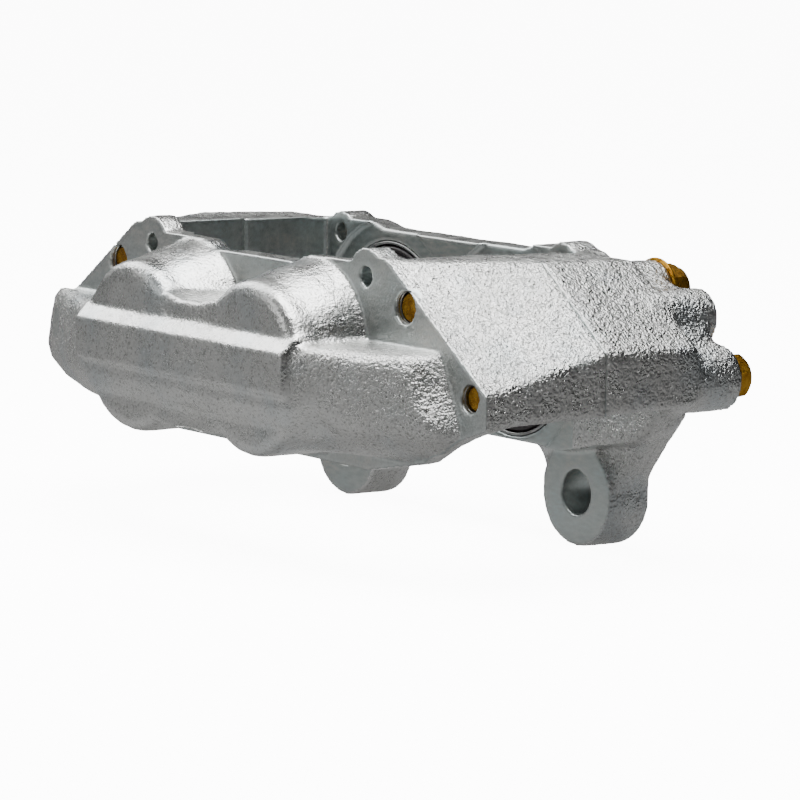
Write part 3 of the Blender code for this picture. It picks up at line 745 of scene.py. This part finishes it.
def bleeder_screw(centre):
    low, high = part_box("bleeder_screw")
    seat = high[1] - 13.4 * MM
    thread_r, neck_r, barb_r = 3.4 * MM, 2.6 * MM, 3.1 * MM
    nipple = [
        (1.4 * MM, low[1]), (thread_r, low[1] + 2 * MM), (thread_r, seat + 6.8 * MM),
        (neck_r, seat + 7.4 * MM), (neck_r, seat + 9.4 * MM),
        (barb_r, seat + 10.2 * MM), (barb_r, seat + 11.2 * MM), (2.0 * MM, high[1]),
    ]
    profile = rounded(nipple, 0.3 * MM, 3, closed=False)
    mesh = lathe("bleeder_nipple", profile, centre, closed=False, segments=64)
    shade(mesh)
    new_piece("bleeder_nipple", mesh, "steel", "bleeder_screw", "plain_steel", "bleeder_screw")
    collar = hexagon("bleeder_hexagon", centre, 5.4 * MM, seat, seat + 6.1 * MM, 0.3, 0.8 * MM)
    new_piece("bleeder_hexagon", collar, "steel", "bleeder_screw", "plain_steel")


def bleeder_cap(centre):
    low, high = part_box("bleeder_cap")
    outer = across("bleeder_cap")
    cap = [
        (3.5 * MM, high[1] - 2.6 * MM), (3.4 * MM, low[1]), (4.1 * MM, low[1]),
        (outer, low[1] + 0.9 * MM), (outer, low[1] + 2.0 * MM), (outer - 0.5 * MM, low[1] + 2.4 * MM),
        (outer - 0.4 * MM, high[1] - 1.4 * MM), (outer - 1.6 * MM, high[1]),
    ]
    profile = rounded(cap, 0.4 * MM, 3, closed=False)
    mesh = lathe("bleeder_cap_rubber", profile, centre, closed=False, segments=64)
    shade(mesh, 50.0)
    new_piece("bleeder_cap_rubber", mesh, "rubber", "bleeder_cap", "rubber", "bleeder_cap")


def bleeder():
    middle = centre_of("bleeder_screw")
    centre = (middle[0], middle[2])
    bleeder_screw(centre)
    bleeder_cap(centre)


def dress_hidden_nodes():
    """Materials for the CAD solids that stay: seals, O-rings and plugs."""
    for node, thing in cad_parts.items():
        if node.startswith(("seal_", "passage_oring_")):
            material = "rubber"
        elif node.startswith("passage_plug_"):
            material = "steel"
        else:
            continue
        thing.data.materials.clear()
        thing.data.materials.append(MATERIALS[material])


# --- Stage ---------------------------------------------------------------------------

def add_camera():
    forward = Vector((
        -math.sin(CAMERA_AZIMUTH) * math.cos(CAMERA_ELEVATION),
        math.cos(CAMERA_AZIMUTH) * math.cos(CAMERA_ELEVATION),
        -math.sin(CAMERA_ELEVATION),
    ))
    level = Vector((math.cos(CAMERA_AZIMUTH), math.sin(CAMERA_AZIMUTH), 0.0))
    upright = level.cross(forward)
    right = level * math.cos(CAMERA_ROLL) + upright * math.sin(CAMERA_ROLL)
    up = upright * math.cos(CAMERA_ROLL) - level * math.sin(CAMERA_ROLL)
    camera = bpy.data.objects.new("camera", bpy.data.cameras.new("camera"))
    camera.data.lens = LENS
    camera.data.sensor_width = 36.0
    camera.data.clip_end = 30.0
    turned = Matrix((right, up, -forward)).transposed().to_4x4()
    camera.matrix_world = Matrix.Translation(CAMERA_PLACE) @ turned
    bpy.context.scene.collection.objects.link(camera)
    bpy.context.scene.camera = camera


def add_softbox(name, place, target, size, energy):
    light = bpy.data.lights.new(name, "AREA")
    light.shape = "RECTANGLE"
    light.size, light.size_y = size
    light.energy = energy
    thing = bpy.data.objects.new(name, light)
    aim = Vector(target) - Vector(place)
    thing.rotation_euler = aim.to_track_quat("-Z", "Y").to_euler()
    thing.location = place
    bpy.context.scene.collection.objects.link(thing)


def add_world():
    """A studio that lights and reflects as grey in front and on the left, and dark behind on the right.

    The camera sees it as a plain pale backdrop.
    """
    world = bpy.data.worlds.new("studio")
    bpy.context.scene.world = world
    world.use_nodes = True
    tree = world.node_tree
    studio = tree.nodes["Background"]
    place = tree.nodes.new("ShaderNodeTexCoord")
    facing = tree.nodes.new("ShaderNodeVectorMath")
    facing.operation = "DOT_PRODUCT"
    facing.inputs[1].default_value = (-0.66, -0.70, 0.25)
    ramp = tree.nodes.new("ShaderNodeValToRGB")
    stops = ramp.color_ramp.elements
    stops[0].position, stops[0].color = 0.30, (0.035, 0.036, 0.038, 1.0)
    stops[1].position, stops[1].color = 0.92, (0.43, 0.44, 0.44, 1.0)
    half = tree.nodes.new("ShaderNodeMath")
    half.operation = "MULTIPLY_ADD"
    half.inputs[1].default_value = 0.5
    half.inputs[2].default_value = 0.5
    tree.links.new(place.outputs["Generated"], facing.inputs[0])
    tree.links.new(facing.outputs["Value"], half.inputs[0])
    tree.links.new(half.outputs[0], ramp.inputs["Fac"])
    tree.links.new(ramp.outputs["Color"], studio.inputs["Color"])
    studio.inputs["Strength"].default_value = 0.55
    backdrop = tree.nodes.new("ShaderNodeBackground")
    backdrop.inputs["Color"].default_value = (1.0, 1.0, 1.0, 1.0)
    backdrop.inputs["Strength"].default_value = BACKDROP
    rays = tree.nodes.new("ShaderNodeLightPath")
    mix = tree.nodes.new("ShaderNodeMixShader")
    tree.links.new(rays.outputs["Is Camera Ray"], mix.inputs["Fac"])
    tree.links.new(studio.outputs[0], mix.inputs[1])
    tree.links.new(backdrop.outputs[0], mix.inputs[2])
    tree.links.new(mix.outputs[0], tree.nodes["World Output"].inputs["Surface"])


def add_floor():
    """A floor that the camera sees as pale as the backdrop.

    The metal sees it as dark grey card that glows brighter close to the part: a painted pool of light.
    """
    shape = bmesh.new()
    bmesh.ops.create_grid(shape, x_segments=1, y_segments=1, size=4.0)
    mesh = closed_mesh("floor", shape)
    floor = bpy.data.objects.new("floor", mesh)
    floor.location = (0.0, 0.0, CAD_BOX[0][2] - 0.2 * MM)
    kit = Nodes("pale_floor")
    kit.shader.inputs["Base Color"].default_value = (0.15, 0.15, 0.15, 1.0)
    kit.shader.inputs["Roughness"].default_value = 0.9
    # Painted pool of light: the floor's emission rises close to the part, for the metal to reflect.
    distance = kit.add("ShaderNodeVectorMath", operation="LENGTH")
    kit.link(kit.place, distance.inputs[0])
    painted_glow = kit.remap(distance.outputs["Value"], 0.26, 0.0, 0.05, 0.25)
    kit.link(painted_glow, kit.shader.inputs["Emission Strength"])
    pale = kit.add("ShaderNodeBsdfDiffuse")
    pale.inputs["Color"].default_value = (0.95, 0.95, 0.95, 1.0)
    lift = kit.add("ShaderNodeEmission")
    lift.inputs["Strength"].default_value = FLOOR_LIFT
    both = kit.add("ShaderNodeAddShader")
    rays = kit.add("ShaderNodeLightPath")
    mix = kit.add("ShaderNodeMixShader")
    kit.link(pale.outputs[0], both.inputs[0])
    kit.link(lift.outputs[0], both.inputs[1])
    kit.link(rays.outputs["Is Camera Ray"], mix.inputs["Fac"])
    kit.link(kit.shader.outputs[0], mix.inputs[1])
    kit.link(both.outputs[0], mix.inputs[2])
    kit.link(mix.outputs[0], kit.tree.nodes["Material Output"].inputs["Surface"])
    mesh.materials.append(kit.material)
    bpy.context.scene.collection.objects.link(floor)


def main():
    add_camera()
    add_world()
    add_floor()
    add_softbox("overhead", (0.1, 0.02, 1.1), (0.1, 0.02, 0.0), (0.95, 0.85), 22.0)
    add_softbox("overhead_left", (-0.95, -0.25, 0.85), (0, 0, 0.05), (0.75, 0.8), 9.0)
    add_softbox("front_fill", (-0.6, -1.2, 0.5), (0, 0, 0.05), (0.8, 0.5), 1.5)
    casting("outboard_half")
    casting("inboard_half")
    bolts()
    for half, sign in HALVES:
        for label, _ in SIDES:
            piston_set(half, sign, label)
    bleeder()
    dress_hidden_nodes()


main()
bpy.context.view_layer.update()
